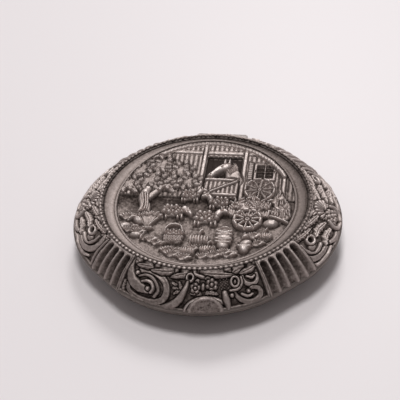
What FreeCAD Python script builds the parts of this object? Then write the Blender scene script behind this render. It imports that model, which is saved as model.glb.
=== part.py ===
import FreeCAD, Part
import os

import Sketcher

# Oval pill box in silver: a lid with a sunken picture plaque, hinged at the back to a shallow base.
# The front faces -Y, the lid opens upward, and the origin is the centre of the flat floor.

doc = FreeCAD.newDocument("PillBox")
sheet = doc.addObject("Spreadsheet::Sheet", "Dims")

# Driving dimensions, in millimetres and degrees. An inset is measured inward from the widest outline.
DIMENSIONS = [
    ("half_width", 25.0, "half of the widest outline, left to right"),
    ("half_depth", 23.8, "half of the widest outline, front to back"),
    ("corner_start", 33.5, "ellipse angle from the front where a reeded corner starts"),
    ("corner_end", 53.5, "ellipse angle from the front where a reeded corner ends"),
    ("corner_roundness", 0.15, "bow of a reeded corner at the widest line, as a share of the full ellipse"),
    ("corner_pull", 0.7, "how far the ends of a reeded corner are drawn in from a full ellipse"),
    ("rim_inset_width", 5.28, "inset of the lid's flat rim from the widest outline, left and right"),
    ("rim_inset_depth", 5.23, "inset of the lid's flat rim from the widest outline, front and back"),
    ("lid_height", 5.35, "height of the lid's flat rim over its lower edge"),
    ("part_level", 4.6, "height of the lid's lower edge"),
    ("part_gap", 0.15, "gap between the closed lid and the base"),
    ("lid_band_inset", 0.1, "inset of the lid's edge band"),
    ("lid_band_height", 0.8, "height of the lid's edge band"),
    ("band_round", 0.25, "how far the faces of both edge bands round back above and below"),
    ("frieze_wall", 1.2, "thickness of the frieze, ornament included"),
    ("frieze_mid_rise", 2.5, "height of the flare's middle outline over the widest outline"),
    ("frieze_mid_share", 0.4, "share of the way from the widest outline to the rim at that height"),
    ("shoulder_width", 2.3, "width of the sloping shoulder inside the beads, left and right"),
    ("shoulder_depth", 1.3, "width of the sloping shoulder inside the beads, front and back"),
    ("shoulder_drop", 0.65, "fall of the shoulder's slope"),
    ("shoulder_thick", 1.45, "height of the shoulder ring"),
    ("shoulder_edge", 0.12, "flat edge left outside the slope"),
    ("fillet_ledge", 0.55, "width of the ledge that carries the fillet wire"),
    ("fillet_setback", 0.1, "distance of the fillet wire from the foot of the slope"),
    ("fillet_width", 0.35, "width of the fillet wire"),
    ("fillet_height", 0.3, "height of the fillet wire"),
    ("bead_width", 0.7, "width of the beaded wire"),
    ("bead_height", 0.6, "height of the beaded wire"),
    ("bead_setback", 0.27, "distance of the beaded wire from the rim's outer edge"),
    ("bead_round", 0.28, "rounding of the beaded wire's top"),
    ("plaque_drop", 1.3, "depth of the plaque's ground under the rim"),
    ("plaque_thick", 0.6, "thickness of the plaque's sheet"),
    ("relief_height", 1.45, "height of the plaque's relief mass over its ground"),
    ("relief_margin", 0.9, "clear ground round the foot of the relief mass"),
    ("relief_taper", 1.6, "how far the relief mass tapers in"),
    ("liner_thick", 0.3, "thickness of both liners"),
    ("lid_liner_inset", 1.45, "inset of the lid liner's lower edge"),
    ("lid_liner_mid_inset", 2.35, "inset of the lid liner's middle outline"),
    ("lid_liner_mid_rise", 1.2, "height of the lid liner's middle outline over its lower edge"),
    ("lid_liner_top_inset", 5.4, "inset of the lid liner's ceiling"),
    ("lid_liner_gap", 0.25, "gap between the lid liner's ceiling and the plaque"),
    ("base_band_inset", 0.45, "inset of the base's edge band"),
    ("base_band_height", 0.6, "height of the base's edge band"),
    ("base_band_step", 0.1, "how far the base wall starts inside its edge band"),
    ("base_wall", 0.8, "thickness of the base wall, measured level"),
    ("base_mid_inset", 3.0, "inset of the base wall's middle outline"),
    ("base_mid_level", 1.75, "height of the base wall's middle outline"),
    ("floor_inset_width", 7.8, "inset of the flat floor plate from the widest outline, left and right"),
    ("floor_inset_depth", 7.6, "inset of the flat floor plate from the widest outline, front and back"),
    ("floor_thick", 0.5, "thickness of the floor plate"),
    ("bezel_inset", 2.5, "inset of the bezel's outer face"),
    ("bezel_wall", 0.45, "thickness of the bezel"),
    ("bezel_rise", 1.3, "height of the bezel over the parting line"),
    ("bezel_depth", 1.2, "depth of the bezel under the parting line"),
    ("closing_gap", 0.15, "gap between the bezel and the lid's edge band"),
    ("snap_reach", 0.1, "how far a snap bump stands out of the bezel"),
    ("snap_radius", 0.4, "radius of a snap bump"),
    ("snap_spread", 6.0, "distance of each snap bump from the middle of the front"),
    ("liner_mid_step", 1.25, "how far the base liner's middle outline lies inside its lip"),
    ("liner_mid_level", 1.95, "height of the base liner's middle outline"),
    ("liner_floor_margin", 1.1, "how far the base liner's floor stops inside the floor plate"),
    ("liner_top_drop", 0.2, "how far the base liner's lip stays under the parting line"),
    ("pin_radius", 0.3, "radius of the hinge pin"),
    ("pin_clearance", 0.03, "radial running clearance of the hinge pin"),
    ("pin_head_radius", 0.5, "radius of the pin's peened heads"),
    ("pin_head_thick", 0.3, "thickness of each peened head"),
    ("knuckle_radius", 0.65, "outer radius of the hinge knuckles"),
    ("knuckle_half", 2.0, "half length of the lid's knuckle"),
    ("knuckle_length", 2.6, "length of each base knuckle"),
    ("knuckle_gap", 0.15, "gap between neighbouring knuckles"),
    ("hinge_standoff", 0.1, "gap between the knuckles and the widest outline"),
    ("bearer_seat", 0.8, "depth of the notch that a hinge bearer is let into"),
    ("bearer_thick", 0.6, "thickness of the hinge bearers"),
    ("bearer_reach", 0.4, "how far a hinge bearer stops short of the hinge axis"),
    ("cartouche_half", 3.1, "half width of the plain cartouche"),
    ("cartouche_tall", 2.15, "height of the plain cartouche"),
    ("cartouche_offset", 2.7, "distance of the cartouche to the right of the middle"),
    ("cartouche_thick", 0.25, "how far the cartouche stands out of the frieze"),
]

for row, (alias, value, meaning) in enumerate(DIMENSIONS, start=1):
    sheet.set(f"A{row}", meaning)
    sheet.set(f"B{row}", str(value))
    sheet.setAlias(f"B{row}", alias)
doc.recompute()


def value_of(expression):
    """The present value of an expression over the sheet, used to draw a sketch near its final shape."""
    return float(sheet.evalExpression(expression.replace("Dims.", "")))


# Levels and insets that follow from the driving dimensions.
LID_BAND_TOP = "(Dims.part_level + Dims.lid_band_height)"
BASE_TOP = "(Dims.part_level - Dims.part_gap)"
BASE_BAND_FOOT = "(Dims.part_level - Dims.part_gap - Dims.base_band_height)"
BEZEL_FOOT = "(Dims.part_level - Dims.bezel_depth)"
RIM_LEVEL = "(Dims.part_level + Dims.lid_height)"
FRIEZE_MID_LEVEL = "(Dims.part_level + Dims.lid_band_height + Dims.frieze_mid_rise)"
LEDGE_LEVEL = "(Dims.part_level + Dims.lid_height - Dims.shoulder_drop)"
GROUND_LEVEL = "(Dims.part_level + Dims.lid_height - Dims.plaque_drop)"
PLAQUE_FOOT = "(Dims.part_level + Dims.lid_height - Dims.plaque_drop - Dims.plaque_thick)"
LINER_CEILING = f"({PLAQUE_FOOT} - Dims.lid_liner_gap)"
BASE_WALL_TOP_INSET = "(Dims.base_band_inset + Dims.base_band_step)"
BASE_LINER_INSET = "(Dims.bezel_inset + Dims.bezel_wall)"
BASE_LINER_MID_INSET = "(Dims.bezel_inset + Dims.bezel_wall + Dims.liner_mid_step)"
LID_LINER_MID_LEVEL = "(Dims.part_level + Dims.lid_band_height + Dims.lid_liner_mid_rise)"
CARTOUCHE_RADIUS = "((Dims.cartouche_half ^ 2 + Dims.cartouche_tall ^ 2) / (2 * Dims.cartouche_tall))"
HINGE_Y = "(Dims.half_depth + Dims.hinge_standoff + Dims.knuckle_radius)"
HINGE_Z = "(Dims.part_level - Dims.part_gap / 2)"
BASE_KNUCKLE_START = "(Dims.knuckle_half + Dims.knuckle_gap)"
HINGE_END = "(Dims.knuckle_half + Dims.knuckle_gap + Dims.knuckle_length)"


# Outlines. Each is (half width, half depth, roundness of the corners) as expressions over the sheet.
def widest(inset="0"):
    return (f"Dims.half_width - {inset}", f"Dims.half_depth - {inset}", "Dims.corner_roundness")


def rim(inset="0"):
    return (
        f"Dims.half_width - Dims.rim_inset_width - {inset}",
        f"Dims.half_depth - Dims.rim_inset_depth - {inset}",
        "1",
    )


def well(inset="0"):
    """The well that holds the plaque: the rim drawn in by the frieze's wall and the shoulder."""
    half_x, half_y, roundness = rim("Dims.frieze_wall")
    return (
        f"{half_x} - Dims.shoulder_width - {inset}",
        f"{half_y} - Dims.shoulder_depth - {inset}",
        roundness,
    )


def flare(inset="0"):
    share = "Dims.frieze_mid_share"
    return (
        f"Dims.half_width - Dims.rim_inset_width * {share} - {inset}",
        f"Dims.half_depth - Dims.rim_inset_depth * {share} - {inset}",
        f"Dims.corner_roundness + (1 - Dims.corner_roundness) * {share}",
    )


def floor(inset="0"):
    return (
        f"Dims.half_width - Dims.floor_inset_width - {inset}",
        f"Dims.half_depth - Dims.floor_inset_depth - {inset}",
        "1",
    )


def place_point(sketch, geometry, position, x_side, x_size, y_side, y_size):
    """Tie one sketch point to the axes: side is -1, 0 or 1, and size an expression over the sheet."""
    x_axis, y_axis, origin = (-1, -2, 1)
    across = ("DistanceX", x_side, x_size, y_axis)
    along = ("DistanceY", y_side, y_size, x_axis)
    for kind, side, size, axis in (across, along):
        if side == 0:
            sketch.addConstraint(Sketcher.Constraint("PointOnObject", geometry, position, axis))
            continue
        ends = (x_axis, origin, geometry, position) if side > 0 else (geometry, position, x_axis, origin)
        index = sketch.addConstraint(Sketcher.Constraint(kind, *ends, value_of(size)))
        sketch.setExpression(f"Constraints[{index}]", size)


def outline_points(half_x, half_y, roundness):
    """Expressions for an outline's points in one quarter: front end, side end and middle of the corner."""
    start = "Dims.corner_start * 1deg"
    end = "Dims.corner_end * 1deg"
    middle = "(Dims.corner_start + Dims.corner_end) / 2 * 1deg"
    flatness = f"(1 - ({roundness}))"
    drawn_in = f"(1 - {flatness} * Dims.corner_pull / Dims.half_width)"
    drawn_x = f"({half_x}) * {drawn_in}"
    drawn_y = f"({half_y}) * {drawn_in}"
    front_end = (f"{drawn_x} * sin({start})", f"{drawn_y} * cos({start})")
    side_end = (f"{drawn_x} * sin({end})", f"{drawn_y} * cos({end})")
    bow = (f"{drawn_x} * ({flatness} * (sin({start}) + sin({end})) / 2 + ({roundness}) * sin({middle}))",
           f"{drawn_y} * ({flatness} * (cos({start}) + cos({end})) / 2 + ({roundness}) * cos({middle}))")
    return front_end, side_end, bow


def front_panel_depth(outline, across):
    """How far in front of the centre an outline's front panel lies, at a distance across from the middle."""
    half_y = f"({outline[1]})"
    (end_x, end_y), _, _ = outline_points(*outline)
    sagitta = f"({half_y} - {end_y})"
    radius = f"((({end_x}) ^ 2 + {sagitta} ^ 2) / (2 * {sagitta}))"
    return f"({half_y} - {radius} + sqrt({radius} ^ 2 - ({across}) ^ 2))"


def add_outline(sketch, half_x, half_y, roundness):
    """One closed outline of eight arcs, four panels and four reeded corners, bound to the sheet."""
    (front_x, front_y), (side_x, side_y), (bow_x, bow_y) = outline_points(half_x, half_y, roundness)
    full_x = f"({half_x})"
    full_y = f"({half_y})"
    # Counter-clockwise from the left end of the front panel: corner point, then the arc's middle point.
    corners = [(-1, front_x, -1, front_y), (1, front_x, -1, front_y), (1, side_x, -1, side_y),
               (1, side_x, 1, side_y), (1, front_x, 1, front_y), (-1, front_x, 1, front_y),
               (-1, side_x, 1, side_y), (-1, side_x, -1, side_y)]
    middles = [(0, "0", -1, full_y), (1, bow_x, -1, bow_y), (1, full_x, 0, "0"), (1, bow_x, 1, bow_y),
               (0, "0", 1, full_y), (-1, bow_x, 1, bow_y), (-1, full_x, 0, "0"), (-1, bow_x, -1, bow_y)]

    def vector(spec):
        return FreeCAD.Vector(spec[0] * value_of(spec[1]), spec[2] * value_of(spec[3]), 0)

    arcs = []
    for index, corner in enumerate(corners):
        following = corners[(index + 1) % len(corners)]
        arc = Part.Arc(vector(corner), vector(middles[index]), vector(following))
        arcs.append(sketch.addGeometry(arc, False))
    for index, arc in enumerate(arcs):
        following = arcs[(index + 1) % len(arcs)]
        sketch.addConstraint(Sketcher.Constraint("Coincident", arc, 2, following, 1))
        place_point(sketch, arc, 1, *corners[index])
        point = sketch.addGeometry(Part.Point(vector(middles[index])), True)
        place_point(sketch, point, 1, *middles[index])
        sketch.addConstraint(Sketcher.Constraint("PointOnObject", point, 1, arc))


def add_circle(sketch, centre_x, centre_y, radius):
    """A circle right of and above the sketch's origin, bound to the sheet."""
    centre = FreeCAD.Vector(value_of(centre_x), value_of(centre_y), 0)
    circle = sketch.addGeometry(Part.Circle(centre, FreeCAD.Vector(0, 0, 1), value_of(radius)), False)
    place_point(sketch, circle, 3, 1, centre_x, 1, centre_y)
    index = sketch.addConstraint(Sketcher.Constraint("Radius", circle, value_of(radius)))
    sketch.setExpression(f"Constraints[{index}]", radius)


def add_rectangle(sketch, left, right, low, high):
    """A rectangle bound to the sheet: left and right are (side, size) pairs, low and high are sizes."""
    corner_specs = [(*left, 1, low), (*right, 1, low), (*right, 1, high), (*left, 1, high)]
    vectors = [FreeCAD.Vector(x_side * value_of(x_size), y_side * value_of(y_size), 0)
               for x_side, x_size, y_side, y_size in corner_specs]
    lines = [sketch.addGeometry(Part.LineSegment(vectors[i], vectors[(i + 1) % 4]), False) for i in range(4)]
    for i, line in enumerate(lines):
        sketch.addConstraint(Sketcher.Constraint("Coincident", line, 2, lines[(i + 1) % 4], 1))
    for line in (lines[0], lines[2]):
        sketch.addConstraint(Sketcher.Constraint("Horizontal", line))
    for line in (lines[1], lines[3]):
        sketch.addConstraint(Sketcher.Constraint("Vertical", line))
    for line, spec in ((lines[0], corner_specs[0]), (lines[2], corner_specs[2])):
        place_point(sketch, line, 1, *spec)


# Building blocks for PartDesign bodies.
parts = []


def new_body(label):
    body = doc.addObject("PartDesign::Body", label)
    body.Label = label
    parts.append(body)
    return body


def body_sketch(body, name, level, role="XY_Plane"):
    """A sketch on one of the body's origin planes, raised by a level that follows the sheet."""
    sketch = body.newObject("Sketcher::SketchObject", f"{body.Label}_{name}")
    plane = next(feature for feature in body.Origin.OriginFeatures if feature.Role == role)
    sketch.AttachmentSupport = [(plane, "")]
    sketch.MapMode = "FlatFace"
    sketch.setExpression("AttachmentOffset.Base.z", level)
    return sketch


def outline_sketch(body, name, level, *outlines):
    sketch = body_sketch(body, name, level)
    for outline in outlines:
        add_outline(sketch, *outline)
    return sketch


def pad(body, sketch, length):
    feature = body.newObject("PartDesign::Pad", f"{sketch.Label}_pad")
    feature.Profile = sketch
    feature.setExpression("Length", length)
    return feature


def pocket(body, sketch, length, reverse=False):
    """Cut a sketch's shape out of the body, and refuse a cut that removes nothing."""
    doc.recompute()
    before = body.Shape.Volume
    feature = body.newObject("PartDesign::Pocket", f"{sketch.Label}_cut")
    feature.Profile = sketch
    feature.Reversed = reverse
    feature.setExpression("Length", length)
    doc.recompute()
    if body.Shape.Volume > before - 1e-6:
        raise RuntimeError(f"{sketch.Label} cuts nothing")
    return feature


def loft(body, kind, name, sections):
    """A smooth loft through (level, outline) sections; kind is Additive or Subtractive."""
    sketches = []
    for i, (level, outline) in enumerate(sections):
        sketches.append(outline_sketch(body, f"{name}_{i}", level, outline))
    feature = body.newObject(f"PartDesign::{kind}Loft", f"{body.Label}_{name}")
    feature.Profile = sketches[0]
    feature.Sections = sketches[1:]
    feature.Ruled = len(sketches) == 2
    return feature


def ring(label, level, height, outer, inner):
    """A ring with straight walls."""
    body = new_body(label)
    pad(body, outline_sketch(body, "outline", level, outer, inner), height)
    return body


def rounded_band(label, foot, height, inset, inner_inset):
    """An edge band whose outer face is rounded, with its widest line halfway up."""
    body = new_body(label)
    edge = f"({inset} + Dims.band_round)"
    loft(body, "Additive", "outside", [
        (foot, widest(edge)),
        (f"{foot} + {height} / 2", widest(inset)),
        (f"{foot} + {height}", widest(edge)),
    ])
    pocket(body, outline_sketch(body, "mouth", foot, widest(inner_inset)), height, reverse=True)
    return body


# ---------------------------------------------------------------- base
def floor_plate():
    body = new_body("floor_plate")
    pad(body, outline_sketch(body, "outline", "0", floor()), "Dims.floor_thick")


def base_wall():
    """The turned-under wall, open at the top and holding the floor plate at its foot."""
    body = new_body("base_wall")
    loft(body, "Additive", "outside", [
        ("0", floor("(0 - Dims.base_wall)")),
        ("Dims.base_mid_level", widest("Dims.base_mid_inset")),
        (BASE_BAND_FOOT, widest(BASE_WALL_TOP_INSET)),
    ])
    loft(body, "Subtractive", "inside", [
        ("Dims.floor_thick", floor()),
        ("Dims.base_mid_level", widest("(Dims.base_mid_inset + Dims.base_wall)")),
        (BASE_BAND_FOOT, widest(f"({BASE_WALL_TOP_INSET} + Dims.base_wall)")),
    ])
    pocket(body, outline_sketch(body, "floor_seat", "0", floor()), "Dims.floor_thick", reverse=True)


def base_edge_band():
    body = rounded_band("base_edge_band", BASE_BAND_FOOT, "Dims.base_band_height",
                        "Dims.base_band_inset", "Dims.bezel_inset")
    for name, side in (("left", -1), ("right", 1)):
        notch = body_sketch(body, f"{name}_notch", BASE_TOP)
        hinge_notch(notch, side, BASE_KNUCKLE_START, HINGE_END, "Dims.base_band_inset")
        pocket(body, notch, "Dims.bearer_thick")


def hinge_notch(sketch, side, near, far, band_inset):
    """The plan of a hinge bearer's notch in an edge band; side 0 is the notch across the middle."""
    seat = f"Dims.half_depth - {band_inset} - Dims.bearer_seat"
    left = (-1, far) if side <= 0 else (1, near)
    right = (1, far) if side >= 0 else (-1, near)
    add_rectangle(sketch, left, right, seat, HINGE_Y)


def bezel():
    """The upright collar that the lid closes over, with two snap bumps at the front."""
    height = "Dims.bezel_rise + Dims.bezel_depth"
    body = ring("bezel", BEZEL_FOOT, height, widest("Dims.bezel_inset"), widest(BASE_LINER_INSET))
    for name, side in (("left", -1), ("right", 1)):
        bump = body.newObject("PartDesign::AdditiveSphere", f"bezel_snap_{name}")
        bump.setExpression("Radius", "Dims.snap_radius")
        bump.setExpression("AttachmentOffset.Base.x", f"{side} * Dims.snap_spread")
        depth = front_panel_depth(widest("Dims.bezel_inset"), "Dims.snap_spread")
        bump.setExpression("AttachmentOffset.Base.y", f"Dims.snap_radius - Dims.snap_reach - {depth}")
        bump.setExpression("AttachmentOffset.Base.z", "Dims.part_level + Dims.lid_band_height / 2")
        plane = next(feature for feature in body.Origin.OriginFeatures if feature.Role == "XY_Plane")
        bump.AttachmentSupport = [(plane, "")]
        bump.MapMode = "FlatFace"


def base_liner():
    """The gilt dish that the pills lie in, set inside the bezel."""
    body = new_body("base_liner")
    lip_level = f"({BASE_TOP} - Dims.liner_top_drop)"
    collar = outline_sketch(body, "collar", BEZEL_FOOT, widest(BASE_LINER_INSET))
    pad(body, collar, f"{lip_level} - {BEZEL_FOOT}")
    loft(body, "Additive", "outside", [
        (BEZEL_FOOT, widest(BASE_LINER_INSET)),
        ("Dims.liner_mid_level", widest(BASE_LINER_MID_INSET)),
        ("Dims.floor_thick", floor("Dims.liner_floor_margin")),
    ])
    inner = f"({BASE_LINER_INSET} + Dims.liner_thick)"
    well = outline_sketch(body, "well", lip_level, widest(inner))
    pocket(body, well, f"{lip_level} - {BEZEL_FOOT}")
    loft(body, "Subtractive", "inside", [
        (BEZEL_FOOT, widest(inner)),
        ("Dims.liner_mid_level + Dims.liner_thick", widest(f"({BASE_LINER_MID_INSET} + Dims.liner_thick)")),
        ("Dims.floor_thick + Dims.liner_thick", floor("(Dims.liner_floor_margin + Dims.liner_thick)")),
    ])


# ---------------------------------------------------------------- lid
def lid_edge_band():
    body = rounded_band("lid_edge_band", "Dims.part_level", "Dims.lid_band_height",
                        "Dims.lid_band_inset", "(Dims.bezel_inset - Dims.closing_gap)")
    notch = body_sketch(body, "notch", "Dims.part_level + Dims.bearer_thick")
    hinge_notch(notch, 0, "0", "Dims.knuckle_half", "Dims.lid_band_inset")
    pocket(body, notch, "Dims.bearer_thick")


def frieze_sections(grow="0"):
    """The flare's outlines from the widest line up to the rim, grown outward by an amount."""
    inset = f"(0 - ({grow}))"
    return [
        (LID_BAND_TOP, widest(inset)),
        (FRIEZE_MID_LEVEL, flare(inset)),
        (RIM_LEVEL, rim(inset)),
    ]


def frieze():
    body = new_body("frieze")
    loft(body, "Additive", "outside", frieze_sections())
    loft(body, "Subtractive", "inside", frieze_sections("0 - Dims.frieze_wall"))


def shoulder():
    """The ring between the beads and the plaque: a slope down to a flat ledge."""
    body = ring("shoulder", f"{RIM_LEVEL} - Dims.shoulder_thick", "Dims.shoulder_thick",
                rim("Dims.frieze_wall"), well())
    loft(body, "Subtractive", "slope", [
        (RIM_LEVEL, rim("(Dims.frieze_wall + Dims.shoulder_edge)")),
        (LEDGE_LEVEL, well("(0 - Dims.fillet_ledge)")),
    ])


def bead_wire():
    """A wire of half-round section on the flat rim."""
    body = new_body("bead_wire")
    top = f"{RIM_LEVEL} + Dims.bead_height"
    shoulder_level = f"{top} - Dims.bead_round"
    for kind, name, side, inset in (("Additive", "outside", "+", "Dims.bead_setback"),
                                    ("Subtractive", "inside", "-", "Dims.bead_setback + Dims.bead_width")):
        loft(body, kind, name, [
            (RIM_LEVEL, rim(f"({inset})")),
            (shoulder_level, rim(f"({inset})")),
            (top, rim(f"({inset} {side} Dims.bead_round)")),
        ])


def fillet_wire():
    outer = "(Dims.fillet_setback - Dims.fillet_ledge)"
    inner = "(Dims.fillet_setback - Dims.fillet_ledge + Dims.fillet_width)"
    ring("fillet_wire", LEDGE_LEVEL, "Dims.fillet_height", well(outer), well(inner))


def plaque():
    """The picture plate with a low mass for its relief."""
    body = new_body("plaque")
    ground = outline_sketch(body, "ground", PLAQUE_FOOT, well())
    pad(body, ground, "Dims.plaque_thick")
    loft(body, "Additive", "relief", [
        (GROUND_LEVEL, well("Dims.relief_margin")),
        (f"{GROUND_LEVEL} + Dims.relief_height", well("(Dims.relief_margin + Dims.relief_taper)")),
    ])


def lid_liner():
    """The gilt lining of the lid, a shallow dish turned upside down on the edge band."""
    body = new_body("lid_liner")
    loft(body, "Additive", "outside", [
        (LID_BAND_TOP, widest("Dims.lid_liner_inset")),
        (LID_LINER_MID_LEVEL, widest("Dims.lid_liner_mid_inset")),
        (LINER_CEILING, widest("Dims.lid_liner_top_inset")),
    ])
    loft(body, "Subtractive", "inside", [
        (LID_BAND_TOP, widest("(Dims.lid_liner_inset + Dims.liner_thick)")),
        (LID_LINER_MID_LEVEL, widest("(Dims.lid_liner_mid_inset + Dims.liner_thick)")),
        (f"{LINER_CEILING} - Dims.liner_thick", widest("(Dims.lid_liner_top_inset + Dims.liner_thick)")),
    ])


def plain_cartouche():
    """A plain half-round boss that follows the frieze's surface low on its front."""
    solids = []
    for name, grow in (("cartouche_skin", "Dims.cartouche_thick"), ("cartouche_core", "0")):
        sketches = []
        for index, (level, outline) in enumerate(frieze_sections(grow)):
            sketch = doc.addObject("Sketcher::SketchObject", f"{name}_{index}")
            sketch.setExpression("Placement.Base.z", level)
            add_outline(sketch, *outline)
            sketches.append(sketch)
        solid = doc.addObject("Part::Loft", name)
        solid.Sections = sketches
        solid.Solid = True
        solids.append(solid)
    shell = doc.addObject("Part::Cut", "cartouche_shell")
    shell.Base, shell.Tool = solids
    # Seen from the front, the outline is a segment of a circle standing on the edge band.
    prism = doc.addObject("Part::Cylinder", "cartouche_prism")
    prism.setExpression("Radius", CARTOUCHE_RADIUS)
    prism.setExpression("Height", "Dims.half_depth")
    prism.Placement = FreeCAD.Placement(FreeCAD.Vector(), FreeCAD.Rotation(FreeCAD.Vector(1, 0, 0), 90))
    prism.setExpression("Placement.Base.x", "Dims.cartouche_offset")
    prism.setExpression("Placement.Base.y", "0 - Dims.half_depth / 2")
    prism.setExpression("Placement.Base.z", f"{LID_BAND_TOP} + Dims.cartouche_tall - {CARTOUCHE_RADIUS}")
    boss = doc.addObject("Part::Common", "plain_cartouche")
    boss.Base = shell
    boss.Tool = prism
    boss.Label = "plain_cartouche"
    parts.append(boss)


# ---------------------------------------------------------------- hinge
def knuckle(label, start, length):
    """A tube on the hinge axis from start towards +X."""
    body = new_body(label)
    sketch = body_sketch(body, "section", start, role="YZ_Plane")
    add_circle(sketch, HINGE_Y, HINGE_Z, "Dims.knuckle_radius")
    add_circle(sketch, HINGE_Y, HINGE_Z, "Dims.pin_radius + Dims.pin_clearance")
    pad(body, sketch, length)


def bearer(label, side, near, far, band_inset, top_level):
    """A tab let into an edge band, its outer end hollowed to fit the knuckle that it carries."""
    body = new_body(label)
    plan = body_sketch(body, "plan", f"{top_level} - Dims.bearer_thick")
    seat = f"Dims.half_depth - {band_inset} - Dims.bearer_seat"
    left = (-1, far) if side <= 0 else (1, near)
    right = (1, far) if side >= 0 else (-1, near)
    add_rectangle(plan, left, right, seat, f"{HINGE_Y} - Dims.bearer_reach")
    pad(body, plan, "Dims.bearer_thick")
    hollow = body_sketch(body, "hollow", f"0 - {HINGE_END}", role="YZ_Plane")
    add_circle(hollow, HINGE_Y, HINGE_Z, "Dims.knuckle_radius")
    pocket(body, hollow, f"2 * {HINGE_END}", reverse=True)


def hinge_pin():
    body = new_body("hinge_pin")
    shaft = body_sketch(body, "shaft", f"0 - {HINGE_END}", role="YZ_Plane")
    add_circle(shaft, HINGE_Y, HINGE_Z, "Dims.pin_radius")
    pad(body, shaft, f"2 * {HINGE_END}")
    for name, start in (("left_head", f"0 - {HINGE_END} - Dims.pin_head_thick"), ("right_head", HINGE_END)):
        head = body_sketch(body, name, start, role="YZ_Plane")
        add_circle(head, HINGE_Y, HINGE_Z, "Dims.pin_head_radius")
        pad(body, head, "Dims.pin_head_thick")


def hinge():
    knuckle("knuckle_centre", "0 - Dims.knuckle_half", "2 * Dims.knuckle_half")
    knuckle("knuckle_left", f"0 - {HINGE_END}", "Dims.knuckle_length")
    knuckle("knuckle_right", BASE_KNUCKLE_START, "Dims.knuckle_length")
    lid_tab_top = "(Dims.part_level + Dims.bearer_thick)"
    bearer("bearer_centre", 0, "0", "Dims.knuckle_half", "Dims.lid_band_inset", lid_tab_top)
    bearer("bearer_left", -1, BASE_KNUCKLE_START, HINGE_END, "Dims.base_band_inset", BASE_TOP)
    bearer("bearer_right", 1, BASE_KNUCKLE_START, HINGE_END, "Dims.base_band_inset", BASE_TOP)
    hinge_pin()


floor_plate()
base_wall()
base_edge_band()
bezel()
base_liner()
lid_edge_band()
frieze()
plain_cartouche()
shoulder()
bead_wire()
fillet_wire()
plaque()
lid_liner()
hinge()
doc.recompute()

for item in doc.Objects:
    if "Invalid" in item.State or "Error" in item.State:
        raise RuntimeError(f"{item.Label} failed: {item.State}")

os.makedirs("parts", exist_ok=True)
for part in parts:
    shape = part.Shape
    if shape.isNull() or not shape.isValid() or len(shape.Solids) != 1:
        raise RuntimeError(f"{part.Label} is not one valid solid")
    print(part.Label, round(shape.Volume, 2), shape.BoundBox)
    shape.exportStep(os.path.join("parts", f"{part.Label}.step"))
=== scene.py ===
from math import cos, degrees, pi, radians, sin, sqrt

import bpy
import numpy as np
from mathutils import Matrix, Vector
from mathutils.bvhtree import BVHTree


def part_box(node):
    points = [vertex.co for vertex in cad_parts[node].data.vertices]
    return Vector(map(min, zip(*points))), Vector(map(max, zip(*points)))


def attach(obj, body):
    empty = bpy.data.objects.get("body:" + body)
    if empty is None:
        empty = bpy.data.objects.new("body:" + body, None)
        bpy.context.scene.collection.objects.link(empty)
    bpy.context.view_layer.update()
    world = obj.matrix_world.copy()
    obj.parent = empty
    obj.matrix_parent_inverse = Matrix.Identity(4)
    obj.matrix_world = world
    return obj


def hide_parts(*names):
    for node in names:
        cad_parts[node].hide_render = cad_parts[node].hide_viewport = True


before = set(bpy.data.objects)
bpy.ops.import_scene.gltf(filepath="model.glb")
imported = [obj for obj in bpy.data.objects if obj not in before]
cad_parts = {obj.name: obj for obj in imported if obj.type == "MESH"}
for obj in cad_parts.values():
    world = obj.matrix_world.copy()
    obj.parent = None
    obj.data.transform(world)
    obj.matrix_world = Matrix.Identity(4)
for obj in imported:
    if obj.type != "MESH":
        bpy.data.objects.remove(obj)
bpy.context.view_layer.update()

# Oval silver pill box: the chased silver, the beads and the picture plaque, built round the CAD frame.
# Reliefs are drawn in millimetres on flat height fields, then bent onto the faces of the CAD nodes.

MM = 0.001

# Sizes in millimetres and degrees, and heights of relief from 0 to 1.
GRID = 0.065  # spacing of the relief's points
CARVING = 1.05  # depth of the frieze's ornament
WALL = 1.2  # thickness of the frieze
# Panels of ornament, with their first and last angles counted from the front.
PANELS = (("front", -34.8, 35.4), ("right", 59.5, 125.2), ("back", 145.2, 214.8), ("left", 234.8, 307.7))
FLUTE_PITCH = 1.95
FRONT_DRAWN = 28.9  # length over which the front and back ornament is drawn, along the edge
SIDE_DRAWN = 30.9  # length over which a side's ornament is drawn
FRONT_PAINTED_SHADE = 0.44  # painted shade: how much darker the front of the frieze is drawn
GROUND = 0.34  # height of the ground under the ornament
FOOT_RIB = 0.72  # height of the rib along a panel's foot
PLAQUE_SHEET = 0.6
WIRE_WIDTH = 0.16  # each of the two wires round the plaque
RING_POINTS = 240
RIM_PAINTED_SHADE = 0.6  # painted shade: how much darker the back right of the rim is drawn
REAR_REACH = 0.6  # how much nearer to the beads the picture comes at the back
REAR_RISE = 0.55  # how much the picture's ground rises to the back
BOSS_RISE = 0.22  # how far the cartouche's edge stands out of the frieze
BOSS_EDGE = 0.28  # from the cartouche's outline to the crest of its edge
BEAD_PITCH = 0.9
BEAD_WIDTH = 0.52
BEAD_HEIGHT = 0.48
BEAD_CORE = 0.17  # radius of the wire through the beads
PICTURE_CELL = 0.06  # spacing of the picture's drawing
PICTURE_GRID = 400  # mesh cells across the plaque
FLOOR_HALF = 1.5  # metres
SEED = 29


def random(seed):
    return np.random.default_rng(SEED + seed)


# Height fields

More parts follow.
